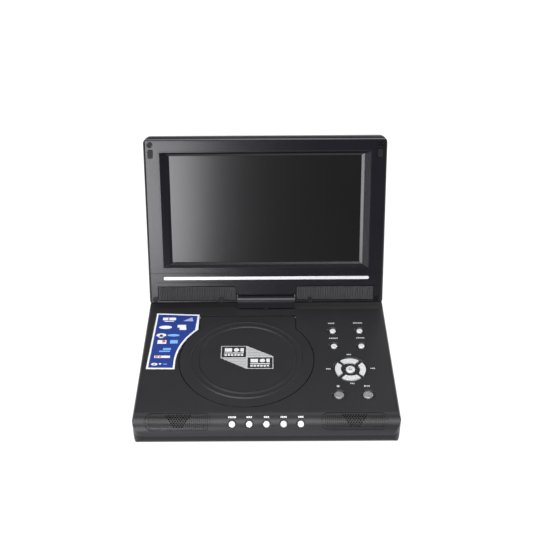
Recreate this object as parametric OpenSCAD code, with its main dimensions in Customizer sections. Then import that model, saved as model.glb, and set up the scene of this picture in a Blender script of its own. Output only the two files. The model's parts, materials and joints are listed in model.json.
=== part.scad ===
// Portable DVD player: a base with a disc lid and keys, a hinge block and a screen unit.
// +Z is up, the front faces -Y, and the origin is at the middle of the footprint.

/* [Base] */
// Width of the base
base_w = 253; // [249:1:257]
// Depth of the base
base_d = 188; // [186:1:192]
// Height of the flat top
base_h = 30; // [30:1:32]
// Radius of the rolled front edge
roll_r = 16; // [15:1:17]
// Wall thickness of the base shells
wall = 2.2; // [2:0.1:2.4]

/* [Disc lid] */
// Radius of the round lid
lid_r = 67.7; // [66:0.1:68]
// Thickness of the lid
lid_t = 2.6; // [2.4:0.1:2.8]

/* [Screen] */
// Width of the screen unit
screen_w = 250; // [245:1:252]
// Height of the screen unit
screen_h = 178; // [174:1:179]
// Thickness of the screen unit
screen_t = 12.6; // [12.4:0.1:13]
// Backward lean of the open screen, in degrees
rest_tilt = 20; // [10:1:30]

/* [Keys] */
// Height of the keys above the surface
key_proud = 0.8; // [0.5:0.1:1]
// Gap round each key
key_gap = 0.3; // [0.2:0.05:0.4]

/* [Hidden] */
$fn = 64;
eps = 0.01;
half_w = base_w / 2;
half_d = base_d / 2;
foot_h = 2;
seam_z = 14;
seam_gap = 0.3;
plate_z = base_h - wall;
front_corner_r = 9;
rear_corner_r = 8;
rear_top_r = 4;
low_edge_r = 8;
side_top_r = 3.5;
side_low_r = 6;
roll_y = -half_d + roll_r;
deck_y = 74.2;
deck_z = base_h - 1.5;

lid_x = -20;
lid_y = -3.4;
lid_gap = 0.9;
tab_x = [-70.2, 30.7];
lid_z = base_h - lid_t;
lid_axis_z = base_h - lid_t / 2;
lid_axis_y = 62;
seat_z = lid_z - 0.3;
seat_t = 1.5;
well_r = 62;
well_wall = 1.6;
floor_z = 19;
floor_t = 1.6;
lens_r_rest = 30;

hinge_y = 81;
hinge_z = base_h + 1.2 + screen_t / 2;
hinge_v = 0.43;
block_w = 61.4;
barrel_r = 6.2;
block_z = base_h + 0.9;
neck_r = 6.5;
neck_z = 23.4;
washer_t = 1.2;
cable_r = 3;
run_gap = 0.06;
notch_w = 62;
notch_v = 9.6;
notch_in_v = 7.7;
shaft_r = 1.5;
knuckle_r = 3;
knuckle_end = 41;

parting_y = 6.2;
fascia_v = 32.6;
lcd_v = [43.9, 157.9];
lcd_x = 99.2;
rim_v = [39, 162];
rim_x = 108.5;
screen_grille_x = 73.8;
plug_x = [-48.3, 46.8];
plug_v = 3;
plug_r = 3;
recess_t = 3.6;
facet_t = 2.9;
facet_x = 3;
facet_v = 2.2;
lip_w = 1.3;
lip_t = 0.2;
bumper_at = [117.7, 160.6];
rib_step = 1.8;
screw_at = [[-118, 170], [118, 170], [-118, 3.8], [118, 3.8]];
frame_t = 4.4;
low_v = -1.2;
screen_wall = 1.8;

small_keys = [[69.5, 37.8], [97.5, 37.8], [69.5, 14.2], [97.5, 14.2]];
small_key_r = 3.1;
pad_x = 83.7;
pad_y = -20.5;
pad_in = 9.6;
pad_out = 15.3;
pad_cut = 4;
ok_key_r = 4.6;
round_keys = [[70, -56.3], [98, -56.3]];
round_key_r = 4.7;
key_foot_z = 24.6;
key_flange = 0.7;
dish_rim = 2.9;
dish_floor = 2;
dish_cut = 0.9;
front_key_x = [-32.3, -16.15, 0, 16.15, 32.3];
front_key_r = 3;
front_well = 1.3;

grille_x = 83.3;
grille_w = 63.5;
grille_h = 17;
grille_lean = 55;
post_at = [[-115, 78], [115, 78], [-115, -56], [115, -56], [-48, -79], [48, -79]];
foot_at = [[-104, -72], [104, -72], [-104, 72], [104, 72], [0, 0]];
side_jack_z = 20.5;
headphone_y = 40;
av_y = 26;
dc_y = 56;
switch_y = 6;
usb_y = 20;
card_y = -14;

black = [0.17, 0.17, 0.18];
dark = [0.1, 0.1, 0.11];
silver = [0.75, 0.76, 0.78];
steel = [0.6, 0.61, 0.63];
board_green = [0.1, 0.35, 0.2];

KEY_NODES = ["key_top_left", "key_top_right", "key_low_left", "key_low_right"];
PAD_NODES = ["key_right", "key_up", "key_left", "key_down"];
ROUND_NODES = ["stop_key", "play_key"];
FRONT_NODES = ["front_key_1", "front_key_2", "front_key_3", "front_key_4", "front_key_5"];

// ---- shared shapes ----

// a cylinder along X
module bar_x(r, x0, x1) {
  translate([x0, 0, 0]) rotate([0, 90, 0]) cylinder(r = r, h = x1 - x0);
}

// a cylinder along Y
module bar_y(r, y0, y1) {
  translate([0, y1, 0]) rotate([90, 0, 0]) cylinder(r = r, h = y1 - y0);
}

// a rectangle from one corner to the other
module box2(a, b) {
  translate(a) square(b - a);
}

// a block from one corner to the other
module block(a, b) {
  translate(a) cube(b - a);
}

// a rectangle whose four corners have their own radii: low left, low right, top right, top left
module round_rect(a, b, r) {
  c = [[a[0] + r[0], a[1] + r[0]], [b[0] - r[1], a[1] + r[1]],
       [b[0] - r[2], b[1] - r[2]], [a[0] + r[3], b[1] - r[3]]];
  difference() {
    box2(a, b);
    translate(a) square(r[0]);
    translate([b[0] - r[1], a[1]]) square(r[1]);
    translate(b - [r[2], r[2]]) square(r[2]);
    translate([a[0], b[1] - r[3]]) square(r[3]);
  }
  for (i = [0:3]) translate(c[i]) circle(r[i]);
}

// the whole outside of the base, drawn in by g all round
module base_form(g) {
  intersection() {
    translate([-half_w, 0, 0]) rotate([90, 0, 90]) linear_extrude(base_w)
      round_rect([-half_d + g, foot_h + g], [half_d - g, base_h - g],
                 [low_edge_r - g, low_edge_r - g, rear_top_r - g, roll_r - g]);
    translate([0, half_d, 0]) rotate([90, 0, 0]) linear_extrude(base_d)
      round_rect([-half_w + g, foot_h + g], [half_w - g, base_h - g],
                 [side_low_r - g, side_low_r - g, side_top_r - g, side_top_r - g]);
    linear_extrude(base_h + 1)
      round_rect([-half_w + g, -half_d + g], [half_w - g, half_d - g],
                 [front_corner_r - g, front_corner_r - g, rear_corner_r - g, rear_corner_r - g]);
  }
}

// outline of the disc lid and its rear tab, grown by g
module lid_outline(g) {
  intersection() {
    translate([lid_x, lid_y]) circle(lid_r + g, $fn = 180);
    box2([-half_w, -half_d], [half_w, lid_axis_y + lid_t / 2 + g]);
  }
  box2([tab_x[0] - g, 25], [tab_x[1] + g, lid_axis_y + lid_t / 2 + g]);
}

// places its children on the front roll, +Z along the outward normal at this angle
module on_roll(x, angle, out) {
  translate([x, roll_y, base_h - roll_r]) rotate([90 - angle, 0, 0]) translate([0, 0, out])
    children();
}

// places its children in the screen's own frame: X across, Y backwards from its face, Z upwards
module on_screen() {
  translate([0, hinge_y, hinge_z]) rotate([-rest_tilt, 0, 0])
    translate([0, -screen_t / 2, -hinge_v]) children();
}

// the outside of the screen unit, drawn in by g all round
module screen_form(g) {
  intersection() {
    translate([0, screen_t, 0]) rotate([90, 0, 0]) linear_extrude(screen_t)
      round_rect([-screen_w / 2 + g, low_v + g], [screen_w / 2 - g, screen_h - g],
                 [4 - g, 4 - g, 8 - g, 8 - g]);
    translate([-screen_w / 2, 0, 0]) rotate([90, 0, 90]) linear_extrude(screen_w)
      round_rect([g, low_v + g], [screen_t - g, screen_h - g],
                 [2 - g, 3 - g, 4 - g, 4 - g]);
    translate([0, 0, low_v]) linear_extrude(screen_h - low_v)
      round_rect([-screen_w / 2 + g, g], [screen_w / 2 - g, screen_t - g],
                 [3 - g, 3 - g, 5 - g, 5 - g]);
  }
}

// a stretch of the screen between two heights
module screen_band(g, y0, y1, v0, v1) {
  intersection() {
    screen_form(g);
    block([-screen_w / 2, y0, v0], [screen_w / 2, y1, v1]);
  }
}

// ---- base shells ----

module grille_outline(inset) {
  w = grille_w / 2 - inset;
  h = grille_h / 2 - inset;
  r = 8 - inset;
  round_rect([-w, -h], [w, h], [r, r, r, r]);
}

// a shallow dish round a key or the direction pad
module dish(r) translate([0, 0, base_h - dish_cut]) {
  cylinder(r1 = r + dish_floor, r2 = r + dish_rim, h = dish_cut);
  translate([0, 0, dish_cut - eps]) cylinder(r = r + dish_rim, h = 1);
}

// a key's hole and the dish round it
module key_well(p, r) translate(p) {
  translate([0, 0, 20]) cylinder(r = r + key_gap, h = 12);
  dish(r);
}

module key_holes() {
  for (p = small_keys) key_well(p, small_key_r);
  for (p = round_keys) key_well(p, round_key_r);
  translate([pad_x, pad_y, 20]) cylinder(r = ok_key_r + key_gap, h = 12);
  translate([pad_x, pad_y, 0]) dish(pad_out);
  for (i = [0:3]) translate([pad_x, pad_y, 20]) linear_extrude(12) pad_sector(i, key_gap);
}

// one of the four curved direction keys, grown by g
module pad_sector(i, g) {
  rotate(90 * i) difference() {
    circle(pad_out + g);
    circle(pad_in - g);
    rotate(45) translate([-pad_out * 2, -pad_cut / 2 + g]) square(pad_out * 4);
    rotate(-45) translate([-pad_out * 2, -pad_out * 4 + pad_cut / 2 - g]) square(pad_out * 4);
    translate([-pad_out * 2, -pad_out]) square(pad_out * 2);
  }
}

module base_top_cover() color(black) {
  difference() {
    union() {
      difference() {
        base_form(0);
        difference() {
          base_form(wall);
          // seat ring and floor round the lid
          translate([0, 0, seat_z - seat_t]) linear_extrude(plate_z - seat_z + seat_t + eps)
            difference() {
              lid_outline(lid_gap + 2.2);
              translate([lid_x, lid_y]) circle(well_r, $fn = 180);
            }
          // collar for the turret neck
          translate([0, hinge_y, deck_z - 5]) cylinder(r = neck_r + 4, h = 5);
          // screw posts
          for (p = post_at) translate([p[0], p[1], seam_z]) cylinder(r = 3.2, h = plate_z - seam_z);
        }
      }
      // skin under the lowered rear deck
      intersection() {
        base_form(0);
        block([-half_w, deck_y - wall, deck_z - wall], [half_w, half_d, deck_z]);
      }
    }
    block([-half_w - 1, -half_d - 1, 0], [half_w + 1, half_d + 1, seam_z + seam_gap / 2]);
    // lid opening and well
    translate([0, 0, seat_z]) linear_extrude(9) lid_outline(lid_gap);
    translate([lid_x, lid_y, 20]) cylinder(r = well_r, h = 9, $fn = 180);
    // lid hinge pins
    translate([0, lid_axis_y, lid_axis_z]) {
      bar_x(0.85, tab_x[0] - 3, tab_x[0]);
      bar_x(0.85, tab_x[1], tab_x[1] + 3);
    }
    // lowered deck behind the step, and the neck's bearing
    block([-half_w - 1, deck_y, deck_z], [half_w + 1, half_d + 1, base_h + 1]);
    translate([0, hinge_y, 20]) cylinder(r = neck_r + run_gap, h = 12);
    key_holes();
    for (x = front_key_x) on_roll(x, 45, roll_r - 9) {
      cylinder(r = front_key_r + key_gap, h = 12);
      translate([0, 0, 8.1]) cylinder(r = front_key_r + front_well, h = 3);
    }
    for (s = [-1, 1]) on_roll(s * grille_x, grille_lean, 9) {
      linear_extrude(9) grille_outline(1.6);
      difference() {
        linear_extrude(9) grille_outline(0);
        translate([-50, 0, -9]) rotate([0, 90, 0]) cylinder(r = roll_r - 0.7, h = 100);
      }
    }
    // screw holes
    for (p = post_at) translate([p[0], p[1], 0]) cylinder(r = 1.2, h = 24);
    // side openings: right
    jack_panel_block(0.1);
    block([half_w - 5, switch_y - 5.2, 18.4], [half_w + 1, switch_y + 5.2, 22.6]);
    block([half_w - 1.3, switch_y - 8, 17.4], [half_w + 1, switch_y + 8, 23.6]);
    // side openings: left
    block([-half_w - 1, usb_y - 6.8, 17.6], [-half_w + 5, usb_y + 6.8, 23.4]);
    block([-half_w - 1, card_y - 12.4, 19], [-half_w + 5, card_y + 12.4, 22]);
  }
}

module base_bottom_cover() color(black) difference() {
  union() {
    difference() {
      intersection() {
        base_form(0);
        block([-half_w, -half_d, 0], [half_w, half_d, seam_z - seam_gap / 2]);
      }
      base_form(wall);
    }
    // lip inside the top cover
    intersection() {
      difference() {
        base_form(wall + 0.2);
        base_form(wall + 1.4);
      }
      block([-half_w, -half_d, seam_z - 3], [half_w, half_d, seam_z + 1.6]);
    }
    // keeps the lip joined to the wall
    intersection() {
      difference() {
        base_form(wall - eps);
        base_form(wall + 1.4);
      }
      block([-half_w, -half_d, seam_z - 3], [half_w, half_d, seam_z - seam_gap]);
    }
    for (p = post_at) translate([p[0], p[1], foot_h + 1]) cylinder(r = 4.2, h = seam_z - foot_h - 1.1);
  }
  for (p = post_at) translate([p[0], p[1], 0]) {
    cylinder(r = 1.7, h = 20);
    cylinder(r = 3.1, h = foot_h + 2.2);
  }
  for (p = foot_at) translate([p[0], p[1], 0]) cylinder(r = 6.1, h = foot_h + 0.8);
  block([55, -52, 0], [103, 52, 10]);
  for (i = [-3:3]) block([-60 + 8 * i, -20, 0], [-57 + 8 * i, 20, 10]);
}

module rubber_feet() color(dark) for (p = foot_at)
  translate([p[0], p[1], 0]) cylinder(r = 6, h = foot_h + 0.8);

module base_screws() color(steel) for (p = post_at) translate([p[0], p[1], foot_h + 0.6]) {
  difference() {
    cylinder(r = 2.8, h = 1.6);
    block([-1.8, -0.3, -1], [1.8, 0.3, 0.8]);
    block([-0.3, -1.8, -1], [0.3, 1.8, 0.8]);
  }
  translate([0, 0, 1.5]) cylinder(r = 1.2, h = 16);
}

// ---- disc drive ----

module window_outline(g) {
  translate([lid_x, lid_y]) circle(17 + g);
  box2([lid_x - 17 - g, lid_y - 70], [lid_x + 17 + g, lid_y]);
}

module disc_tray() color(dark) translate([lid_x, lid_y, 0]) {
  difference() {
    union() {
      translate([0, 0, floor_z - floor_t])
        cylinder(r = well_r + well_wall, h = seat_z - seat_t - floor_z + floor_t - 0.05);
      translate([0, 0, seat_z - seat_t - 1.55]) cylinder(r = well_r + 5, h = 1.5);
    }
    translate([0, 0, floor_z]) cylinder(r = well_r, h = 20);
    intersection() {
      translate([-lid_x, -lid_y, 0]) linear_extrude(30) window_outline(0);
      cylinder(r = well_r - 0.4, h = 40);
    }
    // finger scoop at the disc's right edge
    intersection() {
      translate([46, 20, floor_z - 0.8]) cylinder(r = 12, h = 5);
      cylinder(r = well_r - 1, h = 40);
    }
  }
}

module drive_chassis() color(steel) difference() {
  union() {
    block([lid_x - 28, lid_y - 71, 15.2], [lid_x + 28, lid_y + 26, 16.4]);
    for (s = [-1, 1]) for (y = [-71, -13.4]) translate([lid_x + s * 12.5, lid_y + y, 0])
      block([-3.2, 0, 11], [3.2, 1.6, 15.3]);
  }
  linear_extrude(30) translate([lid_x, lid_y]) box2([-16, -68.8], [16, -14.2]);
  translate([lid_x, lid_y, 0]) cylinder(r = 5.6, h = 30);
  for (s = [-1, 1]) translate([lid_x + s * 12.5, lid_y, 13.5]) bar_y(1.5, -80, -5);
}

module drive_dampers() color(dark)
  for (sx = [-1, 1]) for (y = [20, -52]) translate([lid_x + sx * 24, lid_y + y, 0]) {
    translate([0, 0, 16.4]) cylinder(r = 3, h = floor_z - floor_t - 16.4);
    translate([0, 0, 14]) cylinder(r = 3, h = 1.2);
  }

module spindle_motor() color(silver) translate([lid_x, lid_y, 0]) difference() {
  union() {
    translate([0, 0, 9.6]) cylinder(r = 11.5, h = 5.6);
    translate([0, 0, 15]) cylinder(r = 5.4, h = 2.2);
  }
  translate([0, 0, 10.4]) cylinder(r = 1.04, h = 12);
}

module turntable() color(dark) translate([lid_x, lid_y, 0]) {
  translate([0, 0, 10.6]) cylinder(r = 1, h = 9);
  difference() {
    union() {
      translate([0, 0, 17.6]) cylinder(r = 5, h = 3);
      translate([0, 0, 19.8]) cylinder(r = 14.5, h = 1.2);
      translate([0, 0, 20.9]) cylinder(r = 7.4, h = 2.1);
      translate([0, 0, 23]) cylinder(r1 = 7.4, r2 = 5.4, h = 1.5);
    }
    translate([0, 0, 23.6]) cylinder(r = 3.2, h = 3);
    translate([0, 0, 20.6]) difference() {
      cylinder(r = 14.6, h = 1);
      translate([0, 0, -1]) cylinder(r = 14, h = 3);
    }
  }
  for (i = [0:2]) rotate(120 * i) translate([6, 0, 23.6]) sphere(0.9);
}

module laser_sled() color(dark) translate([lid_x, lid_y - lens_r_rest, 0]) difference() {
  union() {
    block([-15, -9, 11.5], [15, 9, 16.9]);
    block([-4, -4, 16.8], [4, 7, 18.4]);
    block([14.9, -5, 11.6], [19.3, 5, 14.6]);
  }
  for (s = [-1, 1]) translate([s * 12.5, 0, 13.5]) bar_y(1.55, -10, 10);
  translate([0, 0, 15]) cylinder(r = 2.8, h = 5);
}

module laser_lens() color([0.35, 0.3, 0.6]) translate([lid_x, lid_y - lens_r_rest, 15])
  union() {
    cylinder(r = 2.7, h = 4);
    translate([0, 0, 3.9]) cylinder(r1 = 2.4, r2 = 1.5, h = 0.7);
  }

module sled_motor() color(silver) translate([lid_x + 21, lid_y, 12.5]) {
  bar_y(2.6, -13, -3);
}

module lead_screw() color(steel) translate([lid_x + 21, lid_y, 12.5]) {
  bar_y(1, -72, -13);
  for (i = [0:17]) bar_y(1.5, -70 + 3 * i, -68.6 + 3 * i);
}

module guide_rods() color(steel)
  for (s = [-1, 1]) translate([lid_x + s * 12.5, lid_y, 13.5]) bar_y(1.5, -71, -11.8);

// ---- electronics ----

module main_board() color(board_green) {
  block([-108, -62, 5], [44, 58, 6.6]);
  for (c = [[-98, -40, 18], [-70, 30, 22], [10, 36, 16], [-52, -44, 14], [16, -40, 14]])
    color(dark) block([c[0], c[1], 6.5], [c[0] + c[2], c[1] + c[2], 8.8]);
}

module battery_pack() color([0.25, 0.3, 0.5])
  block([50, -56, 4.4], [107, 60, 13]);

module battery_door() color(black) block([55.3, -51.7, foot_h], [102.7, 51.7, foot_h + 2]);

module key_board() color(board_green) {
  block([54, -68, 21.6], [110, 54, 23.2]);
  for (p = concat(small_keys, round_keys, [[pad_x, pad_y]])) translate([p[0], p[1], 23.1])
    color(silver) cylinder(r = 2.2, h = 0.6);
  for (i = [0:3]) translate([pad_x, pad_y, 23.1]) rotate(90 * i) translate([12, 0, 0])
    color(silver) cylinder(r = 2.2, h = 0.6);
}

module front_key_board() color(board_green) on_roll(0, 45, 4) {
  block([-40, -5, 0], [40, 5, 1.4]);
  for (x = front_key_x) translate([x, 0, 1.3]) color(silver) cylinder(r = 2, h = 0.7);
}

module base_speakers() color(dark) for (s = [-1, 1]) on_roll(s * grille_x, grille_lean, 0)
  difference() {
    union() {
      translate([0, 0, 5.6]) cylinder(r = 9, h = 2);
      translate([0, 0, 1.2]) cylinder(r = 7, h = 4.5);
    }
    translate([0, 0, 6.4]) cylinder(r1 = 4, r2 = 7.6, h = 1.3);
  }

// perforated panels: a fan of round holes in a curved plate
module base_grilles() color(dark) for (s = [-1, 1]) difference() {
  intersection() {
    on_roll(s * grille_x, grille_lean, 9) linear_extrude(9) grille_outline(1.7);
    difference() {
      on_roll(s * grille_x, grille_lean, 0) translate([-40, 0, 0]) bar_x(roll_r - 0.8, 0, 80);
      on_roll(s * grille_x, grille_lean, 0) translate([-41, 0, 0]) bar_x(roll_r - 2.6, 0, 82);
    }
  }
  for (row = [0:6]) for (i = [-3 - row:2:3 + row])
    on_roll(s * grille_x + i * 1.25, 36 + row * 6.8, 10) cylinder(r = 0.8, h = 9, $fn = 16);
}

// ---- side parts ----

// the space of the jack panel in the right wall, grown by g
module jack_panel_block(g) {
  block([half_w - wall - g, av_y - 7 - g, seam_z], [half_w + 1, dc_y + 7 + g, 26 + g]);
}

module jack_panel() color(dark) difference() {
  intersection() {
    base_form(0);
    jack_panel_block(0);
  }
  block([0, -half_d, 0], [half_w + 1, half_d, seam_z + seam_gap / 2]);
  for (y = [headphone_y, av_y]) translate([0, y, side_jack_z]) bar_x(3.05, half_w - 5, half_w + 1);
  translate([0, dc_y, side_jack_z]) bar_x(3.6, half_w - 5, half_w + 1);
}

module power_switch() color(silver) union() {
  block([half_w - 4.2, switch_y - 3.2, 18.7], [half_w - 1.9, switch_y + 1.4, 22.3]);
  block([half_w - 2, switch_y - 2.6, 18.7], [half_w - 0.2, switch_y + 0.8, 22.3]);
}

module side_jack(y, hole_r, barrel) color(dark) translate([0, y, side_jack_z]) difference() {
  union() {
    bar_x(barrel, half_w - 2.4, half_w - 0.4);
    block([half_w - 14.5, -5, -4.5], [half_w - 2.4, 5, 4.5]);
  }
  bar_x(hole_r, half_w - 14, half_w + 1);
}

module headphone_jack() side_jack(headphone_y, 1.8, 3);
module av_jack() side_jack(av_y, 1.8, 3);
module dc_jack() {
  side_jack(dc_y, 2.8, 3.5);
  color(steel) translate([0, dc_y, side_jack_z]) bar_x(0.65, half_w - 14.2, half_w - 2);
}

module usb_port() color(steel) {
  difference() {
    block([-half_w + 0.6, usb_y - 6.6, 17.8], [-half_w + 14.6, usb_y + 6.6, 23.2]);
    block([-half_w, usb_y - 6.2, 18.2], [-half_w + 14, usb_y + 6.2, 22.8]);
  }
  color(dark) block([-half_w + 2, usb_y - 5.4, 20.4], [-half_w + 14.2, usb_y + 5.4, 22.2]);
}

module card_slot() color(steel) difference() {
  block([-half_w + 0.6, card_y - 12.2, 19.2], [-half_w + 22, card_y + 12.2, 21.8]);
  block([-half_w, card_y - 11.8, 19.5], [-half_w + 21.5, card_y + 11.8, 21.5]);
}

// ---- disc lid ----

module disc_lid() color(black) difference() {
  union() {
    intersection() {
      translate([lid_x, lid_y, lid_z]) cylinder(r = lid_r, h = lid_t, $fn = 180);
      block([-half_w, -half_d, 0], [half_w, lid_axis_y, base_h + 1]);
    }
    block([tab_x[0], 25, lid_z], [tab_x[1], lid_axis_y, base_h]);
    translate([0, lid_axis_y, lid_axis_z]) bar_x(lid_t / 2, tab_x[0], tab_x[1]);
    translate([lid_x, lid_y, base_h - eps]) rotate_extrude($fn = 180)
      polygon([[47.4, 0], [47.9, 0.45], [48.5, 0.76], [49.4, 0.89], [50.3, 0.76], [50.9, 0.45],
               [51.4, 0.3], [54.4, 0.4], [55, 0.7], [55.6, 0.8], [56.2, 0.65], [57.3, 0]]);
    // catch hook
    translate([lid_x, lid_y, 0]) intersection() {
      block([-5, -61.4, 23], [5, -59.8, lid_z + 0.1]);
      cylinder(r = 61.5, h = 40);
    }
  }
  badge_pocket();
  translate([0, lid_axis_y, lid_axis_z]) {
    bar_x(0.8, tab_x[0] - 1, tab_x[0] + 4);
    bar_x(0.8, tab_x[1] - 4, tab_x[1] + 1);
  }
}

// staggered outline of the badge
module badge_outline() {
  polygon([[-46.2, 15], [-19.8, 15], [7, -0.8], [7, -18.9], [-19.7, -18.9], [-46.2, -2.8]]);
}

module badge_pocket() {
  translate([0, 0, base_h - 0.2]) linear_extrude(1) badge_outline();
}

module lid_badge() color(silver) translate([0, 0, base_h - 0.2])
  linear_extrude(0.35) badge_outline();

module lid_hinge_pins() color(steel) translate([0, lid_axis_y, lid_axis_z]) {
  bar_x(0.8, tab_x[0] - 2.6, tab_x[0] + 4);
  bar_x(0.8, tab_x[1] - 4, tab_x[1] + 2.6);
}

module feature_sticker() color([0.2, 0.35, 0.75]) translate([0, 0, base_h]) linear_extrude(0.2)
  difference() {
    polygon([[-117, 68], [-71.4, 65.5], [-71.4, -9], [-91.6, -9], [-91.6, -19], [-120.2, -18.5]]);
    translate([-19, -9]) circle(72.6);
  }

// ---- turret ----

module turret() color(black) difference() {
  union() {
    translate([-block_w / 2, hinge_y, 0]) rotate([90, 0, 90]) linear_extrude(block_w)
      union() {
        translate([0, hinge_z]) circle(barrel_r);
        box2([-barrel_r, block_z], [barrel_r, hinge_z]);
      }
    translate([0, hinge_y, neck_z]) cylinder(r = neck_r, h = block_z - neck_z + eps);
  }
  translate([0, hinge_y, 20]) cylinder(r = cable_r, h = 14);
  for (s = [-1, 1]) translate([s * block_w / 2, hinge_y, hinge_z]) bar_x(shaft_r, -9, 9);
}

module turret_washer() color(steel) translate([0, hinge_y, neck_z - washer_t]) difference() {
  cylinder(r = neck_r + 3, h = washer_t);
  translate([0, 0, -1]) cylinder(r = cable_r, h = 4);
}

module tilt_shafts() color(steel) translate([0, hinge_y, hinge_z]) for (turn = [0, 180])
  rotate(turn) bar_x(shaft_r, block_w / 2 - 8.95, knuckle_end - 0.05);

// ---- screen unit ----

module notch() {
  block([-notch_w / 2, -1, low_v - 1], [notch_w / 2, screen_t + 1, notch_in_v]);
  block([-notch_w / 2, -1, 0], [notch_w / 2, 2.4, notch_v]);
  for (s = [-1, 1]) translate([s * (notch_w / 2), 0, notch_v])
    block([-1.6, -1, -1.4], [1.6, 2.4, 1]);
}

module knuckles(r) {
  for (s = [-1, 1]) translate([s * (notch_w / 2 + knuckle_end) / 2, screen_t / 2, hinge_v])
    bar_x(r, -(knuckle_end - notch_w / 2) / 2, (knuckle_end - notch_w / 2) / 2);
}

module screw_recess() {
  for (p = screw_at) translate([p[0], 0, p[1]]) {
    bar_y(3.1, -1, 1.5);
    bar_y(1.2, -1, 9);
  }
}

// the frame round the picture, a steep facet and then a flatter one, as a solid to be cut away
module picture_recess() {
  intersection() {
    translate([0, 0, -1]) linear_extrude(screen_h + 2)
      polygon([[-rim_x, 0], [-rim_x, -1], [rim_x, -1], [rim_x, 0], [lcd_x + facet_x, facet_t],
               [lcd_x, recess_t], [-lcd_x, recess_t], [-lcd_x - facet_x, facet_t]]);
    translate([-screen_w / 2, 0, 0]) rotate([90, 0, 90]) linear_extrude(screen_w)
      polygon([[0, rim_v[0]], [-1, rim_v[0]], [-1, rim_v[1]], [0, rim_v[1]],
               [facet_t, lcd_v[1] + facet_v], [recess_t, lcd_v[1]],
               [recess_t, lcd_v[0]], [facet_t, lcd_v[0] - facet_v]]);
  }
  block([-lcd_x, recess_t - 0.1, lcd_v[0]], [lcd_x, 20, lcd_v[1]]);
}

module screen_bezel() color(black) on_screen() difference() {
  union() {
    difference() {
      screen_band(0, 0, parting_y, fascia_v + 0.15, screen_h);
      screen_band(screen_wall, 0, parting_y + 1, fascia_v + 2, screen_h);
    }
    block([-rim_x - 2, 0.5, rim_v[0] - 2], [rim_x + 2, frame_t, rim_v[1] + 2]);
    // raised lip round the picture
    block([-rim_x - lip_w, -lip_t, rim_v[0] - lip_w], [rim_x + lip_w, 1, rim_v[1] + lip_w]);
  }
  picture_recess();
  screw_recess();
  for (s = [-1, 1]) translate([s * bumper_at[0], 0.5, bumper_at[1]]) rotate([90, 0, 0])
    linear_extrude(2) round_rect([-2.8, -4.6], [2.8, 4.6], [1.4, 1.4, 1.4, 1.4]);
}

module screen_fascia() color(black) on_screen() difference() {
  union() {
    difference() {
      screen_band(0, 0, parting_y, low_v, fascia_v - 0.15);
      screen_band(screen_wall, 0, parting_y + 1, low_v, fascia_v - 2);
    }
    // walls round the notch
    block([-notch_w / 2 - 1.8, 0.5, 1], [notch_w / 2 + 1.8, parting_y, notch_v + 1.8]);
  }
  notch();
  knuckles(knuckle_r + 0.15);
  screw_recess();
  // pockets for the grille panels and the groove of the trim strip
  for (s = [-1, 1]) translate([s * screen_grille_x, 0, 0]) hull() {
    block([-41.8, -0.1, 2], [41.8, 0, 18.3]);
    block([-41.1, 1.2, 2.7], [41.1, 1.3, 17.6]);
  }
  rotate([90, 0, 0]) translate([0, 0, -0.6]) linear_extrude(2)
    round_rect([-108.9, 25.5], [109.6, 29], [1.7, 1.7, 1.7, 1.7]);
  block([-116, -1, 22.5], [116, 0.35, 22.9]);
  for (x = plug_x) translate([x, 0, plug_v]) bar_y(plug_r + 0.1, -1, 1.4);
}

module screen_back_cover() color(black) on_screen() difference() {
  union() {
    difference() {
      screen_band(0, parting_y + 0.15, screen_t, low_v, screen_h);
      screen_band(screen_wall, 0, screen_t, low_v, screen_h);
    }
    block([-notch_w / 2 - 1.8, parting_y + 0.15, 1], [notch_w / 2 + 1.8, screen_t - 1, notch_v + 1.8]);
    knuckles(knuckle_r);
    for (p = screw_at) translate([p[0], 0, p[1]]) bar_y(2.3, 3.2, screen_t - 1);
  }
  notch();
  knuckles(shaft_r + 0.05);
  for (p = screw_at) translate([p[0], 0, p[1]]) bar_y(1.2, 0, 9);
  // cooling slots and a line sunk round the back panel
  for (i = [-5:5]) block([8 * i - 1.2, screen_t - 3, 20], [8 * i + 1.2, screen_t + 1, 34]);
  translate([0, screen_t + 1, 0]) rotate([90, 0, 0]) linear_extrude(1.5) difference() {
    round_rect([-104, 44], [104, 160], [8, 8, 8, 8]);
    round_rect([-103, 45], [103, 159], [7, 7, 7, 7]);
  }
}

module lcd_panel() color([0.12, 0.13, 0.14]) on_screen()
  block([-lcd_x - 4, frame_t + 0.05, lcd_v[0] - 3], [lcd_x + 4, 8, lcd_v[1] + 3]);

module lcd_driver_board() color(board_green) on_screen() {
  block([-80, 8.4, 60], [80, 9.6, 140]);
  for (x = [-60, -10, 40]) color(dark) block([x, 9.5, 90], [x + 16, 10.5, 106]);
}

module trim_strip() color(silver) on_screen() translate([0, 0.6, 0]) rotate([90, 0, 0])
  linear_extrude(0.9) round_rect([-108.8, 25.6], [109.5, 28.9], [1.6, 1.6, 1.6, 1.6]);

module screen_grilles() color(dark) on_screen() difference() {
  for (s = [-1, 1]) translate([s * screen_grille_x, 0, 0]) {
    block([-41, 0.9, 2.8], [41, 1.3, 17.5]);
    for (i = [-22:22]) translate([rib_step * i, 0.9, 2.8]) cylinder(r = 0.75, h = 14.7, $fn = 12);
  }
  block([-116, 1.3, 0], [116, 3, 20]);
  for (x = plug_x) translate([x, 0, plug_v]) bar_y(plug_r + 0.1, -1, 1.4);
}

module screen_screws() color(steel) on_screen() for (p = screw_at) translate([p[0], 0, p[1]])
  difference() {
    union() {
      bar_y(2.6, 0.5, 1.5);
      bar_y(1.2, 1.4, 8.5);
    }
    block([-1.7, 0, -0.35], [1.7, 1, 0.35]);
    block([-0.35, 0, -1.7], [0.35, 1, 1.7]);
  }

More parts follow.
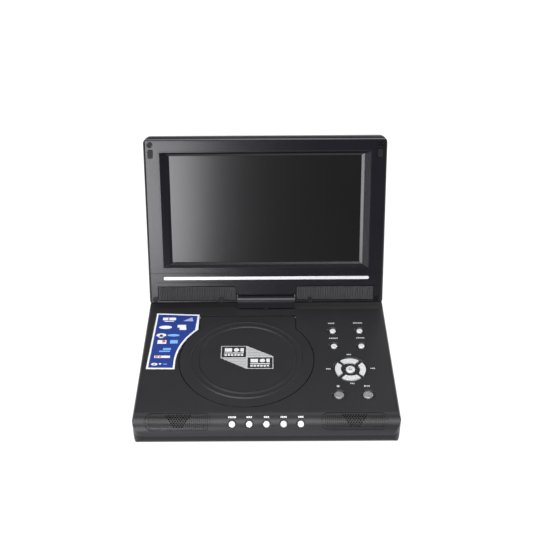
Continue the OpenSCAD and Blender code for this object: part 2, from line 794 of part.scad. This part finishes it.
module screen_bumpers() color(dark) on_screen() {
  for (s = [-1, 1]) translate([s * bumper_at[0], 0.5, bumper_at[1]]) rotate([90, 0, 0])
    linear_extrude(1.4) round_rect([-2.3, -4.1], [2.3, 4.1], [1, 1, 1, 1]);
  for (x = plug_x) translate([x, 0, plug_v]) difference() {
    bar_y(plug_r, -0.5, 1.4);
    bar_y(1.6, -1, 0);
  }
}

// ---- keys ----

module round_key(r) {
  translate([0, 0, key_foot_z]) cylinder(r = r, h = base_h + key_proud - key_foot_z - 0.4);
  translate([0, 0, base_h + key_proud - 0.41]) cylinder(r1 = r, r2 = r - 0.5, h = 0.41);
  translate([0, 0, key_foot_z]) cylinder(r = r + key_flange, h = 0.8);
}

module small_key(i) color(silver) translate(small_keys[i]) round_key(small_key_r);

module big_key(i) color([0.4, 0.41, 0.43]) translate(round_keys[i]) round_key(round_key_r);

module ok_key() color(silver) translate([pad_x, pad_y, 0]) round_key(ok_key_r);

module pad_key(i) color(silver) translate([pad_x, pad_y, key_foot_z]) {
  linear_extrude(base_h + key_proud - 0.2 - key_foot_z) pad_sector(i, 0);
  linear_extrude(0.8) pad_sector(i, key_gap + 0.2);
}

module front_key(i) color(silver) on_roll(front_key_x[i], 45, 0) {
  translate([0, 0, 6.8]) cylinder(r = front_key_r, h = roll_r - 6.8 + 0.3);
  translate([0, 0, roll_r + 0.29]) cylinder(r1 = front_key_r, r2 = front_key_r - 0.7, h = 0.5);
  translate([0, 0, 6.8]) cylinder(r = front_key_r + key_flange, h = 0.9);
}

base_top_cover();
base_bottom_cover();
rubber_feet();
base_screws();
disc_tray();
drive_chassis();
drive_dampers();
spindle_motor();
turntable();
laser_sled();
laser_lens();
sled_motor();
lead_screw();
guide_rods();
main_board();
battery_pack();
battery_door();
base_speakers();
base_grilles();
key_board();
front_key_board();
power_switch();
jack_panel();
headphone_jack();
av_jack();
dc_jack();
usb_port();
card_slot();
disc_lid();
lid_badge();
lid_hinge_pins();
feature_sticker();
turret();
turret_washer();
tilt_shafts();
screen_bezel();
screen_fascia();
screen_back_cover();
lcd_panel();
lcd_driver_board();
trim_strip();
screen_grilles();
screen_screws();
screen_bumpers();
ok_key();
for (i = [0:3]) small_key(i);
for (i = [0:3]) pad_key(i);
for (i = [0:1]) big_key(i);
for (i = [0:4]) front_key(i);
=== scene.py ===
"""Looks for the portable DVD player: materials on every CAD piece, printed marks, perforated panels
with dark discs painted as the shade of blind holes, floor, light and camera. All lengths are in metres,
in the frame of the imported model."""

import json
import math

import bmesh
import bpy
from mathutils import Matrix, Vector


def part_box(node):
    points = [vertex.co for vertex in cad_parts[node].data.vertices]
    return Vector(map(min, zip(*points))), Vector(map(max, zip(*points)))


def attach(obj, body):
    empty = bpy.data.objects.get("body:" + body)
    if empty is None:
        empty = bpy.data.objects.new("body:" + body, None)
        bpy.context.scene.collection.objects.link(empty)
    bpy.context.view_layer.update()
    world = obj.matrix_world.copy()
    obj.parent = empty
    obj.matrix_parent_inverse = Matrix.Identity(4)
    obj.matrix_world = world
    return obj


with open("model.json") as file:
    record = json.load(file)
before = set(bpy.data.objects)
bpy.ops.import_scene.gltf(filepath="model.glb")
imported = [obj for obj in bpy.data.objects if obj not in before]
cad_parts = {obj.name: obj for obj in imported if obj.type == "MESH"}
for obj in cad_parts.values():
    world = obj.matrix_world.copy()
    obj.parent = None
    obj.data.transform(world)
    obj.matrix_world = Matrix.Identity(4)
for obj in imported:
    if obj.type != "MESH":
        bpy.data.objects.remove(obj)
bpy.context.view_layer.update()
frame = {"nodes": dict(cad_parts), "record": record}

MM = 0.001
BASE_LOW, BASE_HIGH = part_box("base_top_cover")
TOP_Z = BASE_HIGH.z
ROLL_R = 16 * MM  # the rolled front edge, and the line through its centre
ROLL_Y = BASE_LOW.y + ROLL_R
ROLL_Z = TOP_Z - ROLL_R
PRINT_T = 0.05 * MM  # how far printing stands proud of its surface
SUNK = 0.01 * MM  # how far it starts inside
LETTER_H = 1.8  # printed letter blocks, in millimetres
LETTER_GAP = 0.4
LETTER_PITCH = 1.75
SHARP_ANGLE = math.radians(32)


# ---- node helpers ----

def new_material(name, color, roughness, metallic=0.0, specular=0.5, coat=0.0):
    """A material whose even values sit on the shader's own sockets."""
    material = bpy.data.materials.new(name)
    material.use_nodes = True
    shader = material.node_tree.nodes["Principled BSDF"]
    shader.inputs["Base Color"].default_value = (*color, 1)
    shader.inputs["Roughness"].default_value = roughness
    shader.inputs["Metallic"].default_value = metallic
    shader.inputs["Specular IOR Level"].default_value = specular
    shader.inputs["Coat Weight"].default_value = coat
    return material, shader


def add(material, kind, **values):
    """A node of this kind with its sockets and properties set."""
    node = material.node_tree.nodes.new(kind)
    for key, value in values.items():
        if key in node.inputs:
            node.inputs[key].default_value = value
        else:
            setattr(node, key.lower(), value)
    return node


def link(material, a, b):
    material.node_tree.links.new(a, b)


def object_coords(material):
    return add(material, "ShaderNodeTexCoord").outputs["Object"]


def noise(material, coords, scale, detail=2.0, roughness=0.5):
    node = add(material, "ShaderNodeTexNoise", Scale=scale, Detail=detail, Roughness=roughness)
    link(material, coords, node.inputs["Vector"])
    return node.outputs["Fac"]


def ramp(material, value, stops):
    """A colour ramp through (position, colour) stops."""
    node = add(material, "ShaderNodeValToRGB")
    elements = node.color_ramp.elements
    while len(elements) < len(stops):
        elements.new(0.5)
    for element, (position, color) in zip(elements, stops):
        element.position = position
        element.color = (*color, 1)
    link(material, value, node.inputs["Fac"])
    return node.outputs["Color"]


def map_range(material, value, low, high):
    node = add(material, "ShaderNodeMapRange")
    node.inputs["To Min"].default_value = low
    node.inputs["To Max"].default_value = high
    link(material, value, node.inputs["Value"])
    return node.outputs["Result"]


def bump(material, shader, height, distance, strength=1.0, edge=None):
    """Bump from a height, over edges rounded by this radius."""
    node = add(material, "ShaderNodeBump", Strength=strength, Distance=distance)
    link(material, height, node.inputs["Height"])
    if edge:
        rounded = add(material, "ShaderNodeBevel", Radius=edge)
        rounded.samples = 4
        link(material, rounded.outputs["Normal"], node.inputs["Normal"])
    link(material, node.outputs["Normal"], shader.inputs["Normal"])


# ---- materials ----

def moulded_plastic(name, color, roughness=0.34, grain=2600, depth=0.00003, edge=0.0003,
                    specular=0.35):
    """Fine spark-eroded grain, with faint handling marks in the gloss and a slight drift in colour."""
    material, shader = new_material(name, color, roughness, specular=specular)
    coords = object_coords(material)
    fine = noise(material, coords, grain, 1.5)
    broad = noise(material, coords, 28, 4, 0.6)
    lighter = tuple(c * 1.06 for c in color)
    darker = tuple(c * 0.95 for c in color)
    link(material, ramp(material, broad, [(0.3, darker), (0.7, lighter)]), shader.inputs["Base Color"])
    link(material, map_range(material, broad, roughness - 0.015, roughness + 0.015),
         shader.inputs["Roughness"])
    bump(material, shader, fine, depth, 0.5, edge)
    return material


def metal(name, color, roughness, stretch=(1, 1, 1), grain=900):
    """Bare or plated metal with fine drawn lines."""
    material, shader = new_material(name, color, roughness, metallic=1.0)
    mapping = add(material, "ShaderNodeMapping")
    mapping.inputs["Scale"].default_value = stretch
    link(material, object_coords(material), mapping.inputs["Vector"])
    lines = noise(material, mapping.outputs["Vector"], grain, 3)
    link(material, map_range(material, lines, roughness - 0.08, roughness + 0.12),
         shader.inputs["Roughness"])
    link(material, ramp(material, lines, [(0.2, tuple(c * 0.82 for c in color)), (0.8, color)]),
         shader.inputs["Base Color"])
    bump(material, shader, lines, 0.00002, 0.4, 0.00015)
    return material


def silver_paint(name, color, roughness, edge=0.0004, patch=0.93):
    """Silver paint with metal flake and soft patches under a clear coat."""
    material, shader = new_material(name, color, roughness, metallic=0.2, coat=0.5)
    shader.inputs["Coat Roughness"].default_value = 0.12
    coords = object_coords(material)
    flake = noise(material, coords, 5200, 0)
    patches = noise(material, coords, 620, 1.5)
    tone = ramp(material, patches, [(0.4, tuple(c * patch for c in color)), (0.6, color)])
    link(material, tone, shader.inputs["Base Color"])
    link(material, map_range(material, flake, roughness - 0.05, roughness + 0.1),
         shader.inputs["Roughness"])
    bump(material, shader, flake, 0.00001, 0.3, edge)
    return material


def rubber(name, color):
    material, shader = new_material(name, color, 0.7, specular=0.3)
    coords = object_coords(material)
    grain = noise(material, coords, 1400, 4)
    link(material, ramp(material, grain, [(0.2, tuple(c * 0.7 for c in color)), (0.8, color)]),
         shader.inputs["Base Color"])
    link(material, map_range(material, grain, 0.6, 0.82), shader.inputs["Roughness"])
    bump(material, shader, grain, 0.00005, 0.5, 0.0003)
    return material


def printed(name, color, roughness=0.35):
    """Printing ink or vinyl, with the faint mottle of a screen print."""
    material, shader = new_material(name, color, roughness)
    coords = object_coords(material)
    mottle = noise(material, coords, 700, 3)
    link(material, ramp(material, mottle, [(0.2, tuple(c * 0.9 for c in color)), (0.8, color)]),
         shader.inputs["Base Color"])
    link(material, map_range(material, mottle, roughness - 0.05, roughness + 0.1),
         shader.inputs["Roughness"])
    return material


def circuit_board(name):
    """Green solder mask with paler tracks."""
    material, shader = new_material(name, (0.01, 0.1, 0.04), 0.3, coat=0.3)
    coords = object_coords(material)
    tracks = add(material, "ShaderNodeTexBrick", Scale=140.0)
    tracks.inputs["Color1"].default_value = (0.006, 0.07, 0.025, 1)
    tracks.inputs["Color2"].default_value = (0.008, 0.1, 0.035, 1)
    tracks.inputs["Mortar"].default_value = (0.03, 0.2, 0.08, 1)
    tracks.inputs["Mortar Size"].default_value = 0.03
    link(material, coords, tracks.inputs["Vector"])
    link(material, tracks.outputs["Color"], shader.inputs["Base Color"])
    bump(material, shader, tracks.outputs["Fac"], 0.00003, 0.4)
    return material


def lcd_surface(name):
    """A switched-off anti-glare panel: dark, with a soft sheen and a very fine surface sparkle."""
    material, shader = new_material(name, (0.0062, 0.0062, 0.0066), 0.17, specular=0.42)
    coords = object_coords(material)
    sparkle = noise(material, coords, 6000, 1)
    smear = noise(material, coords, 14, 3, 0.6)
    link(material, map_range(material, smear, 0.165, 0.175), shader.inputs["Roughness"])
    tones = [(0.3, (0.0058, 0.0058, 0.0062)), (0.7, (0.0066, 0.0066, 0.007))]
    link(material, ramp(material, smear, tones), shader.inputs["Base Color"])
    bump(material, shader, sparkle, 0.000006, 0.3)
    return material


def lens_glass(name):
    material, shader = new_material(name, (0.25, 0.22, 0.55), 0.05, coat=1.0)
    coords = object_coords(material)
    film = noise(material, coords, 300, 1)
    link(material, ramp(material, film, [(0.3, (0.16, 0.13, 0.5)), (0.7, (0.35, 0.2, 0.5))]),
         shader.inputs["Base Color"])
    return material


CASE = moulded_plastic("case_black", (0.0202, 0.0196, 0.0213), 0.34, specular=0.28)
SCREEN_CASE = moulded_plastic("screen_black", (0.0066, 0.0061, 0.009), 0.2)
RIB_BLACK = moulded_plastic("rib_black", (0.0085, 0.008, 0.0105), 0.38, specular=0.66)
HINGE_BLACK = moulded_plastic("hinge_black", (0.0145, 0.0138, 0.017), 0.26)
# the bottom cover: a darker copy of the case plastic, painted shade of the lower front
LOWER_CASE_SHADED = moulded_plastic("lower_case_painted_shade", (0.012, 0.0115, 0.0145), 0.36, specular=0.16)
GRILLE = moulded_plastic("grille_black", (0.021, 0.0206, 0.022), 0.32, edge=0.0006, specular=0.3)
# near-black discs on the speaker panels: painted shade standing for blind holes
HOLE_SHADE = moulded_plastic("hole_painted_shade", (0.004, 0.004, 0.0045), 0.6, specular=0.1)
DRIVE = moulded_plastic("drive_plastic", (0.02, 0.02, 0.022), 0.5)
JACK = moulded_plastic("jack_black", (0.012, 0.012, 0.012), 0.25, 1500)
SWITCH = moulded_plastic("switch_grey", (0.2, 0.2, 0.21), 0.4)
RUBBER = rubber("rubber_black", (0.018, 0.018, 0.018))
BUMPER = moulded_plastic("bumper_black", (0.008, 0.008, 0.009), 0.45, 1400, 0.00005, specular=0.2)
SCREW_BLACK = metal("screw_black", (0.02, 0.02, 0.022), 0.35)
STEEL = metal("screw_steel", (0.42, 0.42, 0.44), 0.34)
CAN = metal("motor_can", (0.6, 0.6, 0.61), 0.3, (1, 1, 14))
PORT = metal("port_steel", (0.55, 0.54, 0.52), 0.28)
KEY_SILVER = silver_paint("key_silver", (0.76, 0.77, 0.78), 0.3, patch=0.84)
KEY_GREY = silver_paint("key_grey", (0.31, 0.315, 0.33), 0.28, patch=0.6)
TRIM = silver_paint("trim_silver", (0.72, 0.73, 0.75), 0.24)
BOARD = circuit_board("circuit_board")
BATTERY = printed("battery_wrap", (0.05, 0.1, 0.3))
SPEAKER = moulded_plastic("speaker_body", (0.03, 0.03, 0.03), 0.6, 900)
LCD = lcd_surface("lcd_glass")
LENS = lens_glass("lens_glass")
INK_GREY = printed("ink_grey", (0.48, 0.49, 0.5))
INK_DARK = printed("ink_dark", (0.05, 0.05, 0.055))
INK_WHITE = printed("ink_white", (0.72, 0.73, 0.75))
BADGE_SILVER = printed("badge_silver", (0.5, 0.5, 0.52), 0.3)
BADGE_GREY = printed("badge_grey", (0.16, 0.16, 0.17), 0.3)
BADGE_BLACK = printed("badge_black", (0.02, 0.02, 0.022), 0.3)
STICKER_WHITE = printed("sticker_white", (0.82, 0.83, 0.86), 0.3)
STICKER_BLUE = printed("sticker_blue", (0.017, 0.044, 0.25), 0.28)
STICKER_SKY = printed("sticker_sky", (0.2, 0.45, 0.8), 0.3)
STICKER_LILAC = printed("sticker_lilac", (0.38, 0.4, 0.66), 0.3)
STICKER_RED = printed("sticker_red", (0.65, 0.12, 0.06), 0.3)

SLOT_MATERIALS = {
    "case_black": CASE, "screen_black": SCREEN_CASE, "grille_black": GRILLE,
    "rubber_black": RUBBER, "screw_steel": STEEL, "screw_black": SCREW_BLACK,
    "drive_plastic": DRIVE, "motor_can": CAN,
    "lens_glass": LENS, "circuit_board": BOARD, "battery_wrap": BATTERY,
    "speaker_body": SPEAKER, "jack_black": JACK, "port_steel": PORT,
    "badge_print": BADGE_SILVER, "sticker_print": STICKER_WHITE, "trim_silver": TRIM,
    "lcd_glass": LCD, "key_silver": KEY_SILVER, "key_grey": KEY_GREY, "switch_grey": SWITCH,
}

# nodes whose tone differs a little from the rest of their slot; the bottom cover's darker copy of the
# case plastic is painted shade
NODE_MATERIALS = {"base_bottom_cover": LOWER_CASE_SHADED, "screen_bumpers": BUMPER, "turret": HINGE_BLACK,
                  "screen_grilles": RIB_BLACK}


def dress_cad_nodes():
    """Every CAD node gets its slot's material and smooth shading up to its real edges."""
    slots = {s["node"]: s["material_slot"] for s in frame["record"]["subparts"]}
    for name, obj in frame["nodes"].items():
        obj.data.materials.clear()
        obj.data.materials.append(NODE_MATERIALS.get(name) or SLOT_MATERIALS[slots[name]])
        obj.data.shade_smooth()
        obj.data.set_sharp_from_angle(angle=SHARP_ANGLE)


# ---- mesh helpers ----

def new_piece(name, bm, material, body):
    mesh = bpy.data.meshes.new(name)
    bmesh.ops.recalc_face_normals(bm, faces=bm.faces)
    bm.to_mesh(mesh)
    bm.free()
    mesh.materials.append(material)
    obj = bpy.data.objects.new(name, mesh)
    bpy.context.scene.collection.objects.link(obj)
    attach(obj, body)
    return obj


def add_plate(bm, outline, low, high, place=None):
    """A flat plate: the outline's corners, from one height to the other, placed by a function."""
    place = place or (lambda x, y, z: (x, y, z))
    bottom = [bm.verts.new(place(x, y, low)) for x, y in outline]
    top = [bm.verts.new(place(x, y, high)) for x, y in outline]
    bm.faces.new(top)
    bm.faces.new(list(reversed(bottom)))
    count = len(outline)
    for i in range(count):
        j = (i + 1) % count
        bm.faces.new((bottom[i], bottom[j], top[j], top[i]))


def in_mm(outline):
    return [(x * MM, y * MM) for x, y in outline]


def rect(x0, y0, x1, y1):
    return [(x0, y0), (x1, y0), (x1, y1), (x0, y1)]


def disc(x, y, rx, ry, count=20):
    """An ellipse's corners."""
    return [(x + rx * math.cos(2 * math.pi * i / count), y + ry * math.sin(2 * math.pi * i / count))
            for i in range(count)]


def on_roll(x, angle, radius):
    """A point over the front roll; the angle is 90 degrees at the top and 0 at the front."""
    a = math.radians(angle)
    return (x, ROLL_Y - radius * math.cos(a), ROLL_Z + radius * math.sin(a))


# ---- printed marks ----

def word(width):
    """Widths of the letter-like blocks that fill a label of this width, by turns narrow and wide."""
    count = round((width + LETTER_GAP) / LETTER_PITCH)
    block = (width + LETTER_GAP) / count - LETTER_GAP
    change = 0.18
    return [block + (change if i % 2 else -change) for i in range(count)]


def dashes(x, y, widths, height, gap=LETTER_GAP):
    """Outlines of a short row of blocks centred on a point."""
    total = sum(widths) + gap * (len(widths) - 1)
    left = x - total / 2
    found = []
    for width in widths:
        found.append(rect(left, y - height / 2, left + width, y + height / 2))
        left += width + gap
    return found


def key_legends():
    """Plain blocks and simple symbols beside the keys."""
    small_keys = ((68.5, 50.3, 6.4), (96.5, 50.6, 9.4), (69.5, 26.4, 8.9), (97.4, 26.8, 8.5))
    pad_keys = ((83.7, 1.4), (84, -40.4), (61.6, -19.7), (106, -19.2))
    shapes = []
    for x, y, width in small_keys:
        shapes += dashes(x, y, word(width), LETTER_H)
    for x, y in pad_keys:
        shapes += dashes(x, y, word(4.6), 1.6)
    stop_square = rect(68.6, -45.5, 71.2, -42.9)
    play_triangle = [(95.3, -45.5), (98.3, -44.1), (95.3, -42.7)]
    pause_bars = dashes(99.5, -44.1, [0.8, 0.8], 2.5, 0.5)
    bm = bmesh.new()
    for shape in shapes + [stop_square, play_triangle] + pause_bars:
        add_plate(bm, in_mm(shape), TOP_Z - SUNK, TOP_Z + PRINT_T)
    new_piece("key_legends", bm, INK_GREY, "root")


def ok_mark():
    """A small open square and a tick on the centre key."""
    low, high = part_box("ok_key")
    x, y = (low.x + high.x) / 2, (low.y + high.y) / 2
    strokes = ((-1.7, -1.6, -1.1, 1.6), (-1.1, -1.6, 1.4, -1), (-1.1, 1, 0.7, 1.6),
               (0.1, -0.4, 1.6, 0.2))
    bm = bmesh.new()
    for x0, y0, x1, y1 in strokes:
        stroke = rect(x + x0 * MM, y + y0 * MM, x + x1 * MM, y + y1 * MM)
        add_plate(bm, stroke, high.z - SUNK, high.z + PRINT_T / 2)
    new_piece("ok_mark", bm, INK_DARK, "ok_key")


def front_legends():
    """A row of small blocks over each front key, bent round the roll."""
    label_angle = 69
    first_x, key_pitch, letter_h = -32.3, 16.15, 1.7
    bm = bmesh.new()
    for i, width in enumerate((7.4, 5.2, 4.8, 5.8, 5.2)):
        for shape in dashes(first_x + key_pitch * i, 0, word(width), letter_h):
            add_plate(bm, in_mm(shape), ROLL_R - 2 * SUNK, ROLL_R + PRINT_T,
                      lambda px, py, r: on_roll(px, label_angle + math.degrees(py / ROLL_R), r))
    new_piece("front_legends", bm, INK_WHITE, "root")


def badge_art():
    """Two dark plates joined by a striped band, with plain bars in place of words."""
    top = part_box("lid_badge")[1].z
    plates = bmesh.new()
    for box in (rect(-45.4, -2, -20.6, 14.2), rect(-18.9, -18.1, 6.2, -2.4)):
        add_plate(plates, in_mm(box), top - SUNK, top + PRINT_T)
    new_piece("badge_plates", plates, BADGE_BLACK, "lid")
    lines = bmesh.new()
    line_h, inset, fall = 0.45, 1.2, 15.8
    for i in range(6):
        y = 11.8 - 2.3 * i
        right = -19.8 + (15 - y) / 15.8 * 26.8  # where the badge's slanted sides are at this line
        left = -46.2 + (11 - y) / 16.1 * 26.5
        upper = rect(-19.4, y, right - inset, y + line_h)
        lower = rect(left + inset, y - fall, -20, y - fall + line_h)
        for box in (upper, lower):
            add_plate(lines, in_mm(box), top - SUNK, top + PRINT_T / 2)
    new_piece("badge_lines", lines, BADGE_GREY, "lid")
    bars = bmesh.new()
    for x0, y0 in ((-45.4, -2), (-18.9, -18.1)):
        shapes = [rect(x0 + 3, y0 + 8.4, x0 + 10.5, y0 + 13.6),
                  disc(x0 + 15, y0 + 11, 2.8, 2.6),
                  rect(x0 + 19, y0 + 8.4, x0 + 22.4, y0 + 13.6),
                  rect(x0 + 2.6, y0 + 5.8, x0 + 22.4, y0 + 7)]
        shapes += dashes(x0 + 12.4, y0 + 3.4, [2.4] * 6, 2.4, 0.9)
        for shape in shapes:
            add_plate(bars, in_mm(shape), top + PRINT_T / 2, top + 2 * PRINT_T)
    new_piece("badge_bars", bars, INK_WHITE, "lid")


def sticker_art():
    """A blue field inside the sticker's white edge, with seven rows of plain small marks."""
    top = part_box("feature_sticker")[1].z
    edge = 1.9  # the white edge, in millimetres
    arc_x, arc_y, arc_r = -19, -9, 72.6 + edge
    arc_top, steps = 40.5, 24
    sweep = math.asin((arc_top - arc_y) / arc_r)
    arc = [(arc_x - arc_r * math.cos(sweep * i / steps), arc_y + arc_r * math.sin(sweep * i / steps))
           for i in range(steps + 1)]
    outline = [(-118.2, -16.7), (-93.5, -17.1)] + arc + [(-73.3, 63.5), (-115.2, 66)]
    field = bmesh.new()
    add_plate(field, in_mm(outline), top - SUNK, top + PRINT_T)
    new_piece("sticker_field", field, STICKER_BLUE, "root")
    marks = {
        "white": [rect(-110, 56.5, -104.2, 60.8), rect(-103.2, 56.5, -96, 60.8),
                  rect(-108, 54.2, -98, 55.4), disc(-106, 45, 6.8, 2.7),
                  rect(-93.5, 44.6, -84.6, 48.8), rect(-91, 40.6, -84, 44.6),
                  disc(-109.3, 32.4, 5.2, 2.9), disc(-109.3, 29.6, 2.6, 1.6),
                  rect(-112.3, 19, -103.2, 24.6), rect(-113.6, -2.4, -97.6, 0.9),
                  disc(-112.4, -11.7, 3.2, 1.9), [(-108, -10.4), (-106.6, -13), (-105.2, -10.4)]],
        "sky": [disc(-96.5, 32.2, 6.4, 1.8), rect(-99.4, 19.4, -91.4, 24.6),
                rect(-105.6, 9.6, -97.6, 12.4), rect(-109.4, 6.6, -98.2, 8.4),
                rect(-103.6, -12.2, -99.6, -11.2)],
        "lilac": [[(-88.5, 54.8), (-77.4, 54.8), (-78.8, 61.2)]],
        "red": [disc(-105.9, 22.6, 1.9, 1.9), rect(-112.6, -1.7, -109.8, 0.2),
                rect(-108.8, -1.7, -106.4, 0.2)],
        "dark": [disc(-109.3, 32, 1.7, 1.6), disc(-112.4, -11.7, 1.1, 0.8)],
    }
    inks = {"white": STICKER_WHITE, "sky": STICKER_SKY, "lilac": STICKER_LILAC, "red": STICKER_RED,
            "dark": INK_DARK}
    for level, (ink, shapes) in enumerate(marks.items()):
        height = (1.6 + 0.3 * level) * PRINT_T  # each ink a little over the one before
        bm = bmesh.new()
        for shape in shapes:
            add_plate(bm, in_mm(shape), top, top + height)
        new_piece("sticker_marks_" + ink, bm, inks[ink], "root")


def grille_dots():
    """Rows of small dark discs round the fan of open holes, over the curve of each speaker panel:
    painted shade standing for blind holes.
    """
    panel_x, panel_angle, panel_r = 83.3, 55, 15.2
    half_w, corner = 30.1, 6.3
    pitch, row_pitch, margin = 1.85, 1.35, 0.6
    bm = bmesh.new()
    for side in (-1, 1):
        for row in range(-4, 5):
            lean = math.degrees(row * row_pitch / panel_r)
            across = panel_r * math.sin(math.radians(lean))
            fan = (3 + (19 + lean) / 6.8) * 1.25 + 1.6  # half the width that the open holes take here
            end = half_w - corner + math.sqrt((corner - 0.2) ** 2 - across ** 2)
            for i in range(-16, 17):
                if not fan < abs(i * pitch) < end - margin:
                    continue
                # each dot is a dark disc just proud of the panel, painted shade of a hole
                add_plate(bm, disc(0, 0, 0.5, 0.45, 8), panel_r - 0.02, panel_r + 0.04,
                          lambda px, py, r: on_roll((side * panel_x + i * pitch + px) * MM,
                                                    panel_angle + lean + math.degrees(py / panel_r),
                                                    r * MM))
    new_piece("grille_dots", bm, HOLE_SHADE, "root")


# ---- stage ----

def build_floor():
    """A pale floor with a low upright backdrop at the rear and at both sides. It is open in front,
    because the picture panel mirrors that end of the room."""
    half_w, front, rear = 8, -3, 5
    thick, wall_h = 0.02, 0.9
    bm = bmesh.new()
    add_plate(bm, rect(-half_w, front, half_w, rear), -thick, 0.0)
    add_plate(bm, rect(-half_w, rear, half_w, rear + thick), 0.0, wall_h)
    for x in (-half_w - thick, half_w):
        add_plate(bm, rect(x, front, x + thick, rear), 0.0, wall_h)
    mesh = bpy.data.meshes.new("floor")
    bm.to_mesh(mesh)
    bm.free()
    floor = bpy.data.objects.new("floor", mesh)
    bpy.context.scene.collection.objects.link(floor)
    material, shader = new_material("floor_white", (0.15, 0.15, 0.15), 0.9, specular=0.0)
    shader.inputs["Emission Color"].default_value = (1, 1, 1, 1)
    shader.inputs["Emission Strength"].default_value = 0.98
    mesh.materials.append(material)


def area_light(name, place, target, size, power, color=(1, 1, 1)):
    """A rectangular lamp at a place, turned to a target."""
    data = bpy.data.lights.new(name, "AREA")
    data.shape = "RECTANGLE"
    data.size, data.size_y = size
    data.energy = power
    data.color = color
    lamp = bpy.data.objects.new(name, data)
    lamp.location = place
    lamp.rotation_euler = (Vector(target) - Vector(place)).to_track_quat("-Z", "Y").to_euler()
    bpy.context.scene.collection.objects.link(lamp)


def build_light():
    world = bpy.data.worlds.new("studio")
    world.use_nodes = True
    background = world.node_tree.nodes["Background"]
    background.inputs["Color"].default_value = (1, 1, 1, 1)
    background.inputs["Strength"].default_value = 0.1
    bpy.context.scene.world = world
    area_light("front_top", (-0.22, -0.68, 1.28), (0, -0.05, 0.02), (2.0, 0.7), 28)
    area_light("left_front", (-0.6, -1.38, 0.36), (-0.39, 0.1, 0.2), (0.8, 0.54), 15, (0.97, 0.96, 1))
    area_light("right_edge", (1.26, 0.46, 0.54), (0, 0, 0.03), (0.3, 0.3), 3)
    area_light("overhead", (0, 0.6, 1.4), (0, 0, 0), (1.2, 0.5), 4.5)
    area_light("back_fill", (0.4, 1.5, 0.8), (0, 0, 0.05), (0.8, 0.6), 1.5)


def build_camera():
    """The viewing point: straight in front and well above, looking down at the hinge side."""
    place = (0.00304, -0.68028, 0.65013)
    yaw, pitch, roll = -0.00317, 0.64065, -0.00762
    data = bpy.data.cameras.new("camera")
    data.sensor_width = 36
    data.lens = 61.07
    data.clip_start = 0.05
    camera = bpy.data.objects.new("camera", data)
    ahead = Vector((math.sin(yaw) * math.cos(pitch), math.cos(yaw) * math.cos(pitch), -math.sin(pitch)))
    side = Vector((math.cos(yaw), -math.sin(yaw), 0))
    up = side.cross(ahead)
    right = math.cos(roll) * side + math.sin(roll) * up
    above = right.cross(ahead)
    turn = Matrix((right, above, -ahead)).transposed()
    camera.matrix_world = Matrix.Translation(place) @ turn.to_4x4()
    bpy.context.scene.collection.objects.link(camera)
    bpy.context.scene.camera = camera
    bpy.context.scene.view_settings.view_transform = "Standard"


build_camera()
build_light()
build_floor()
dress_cad_nodes()
key_legends()
front_legends()
ok_mark()
badge_art()
sticker_art()
grille_dots()
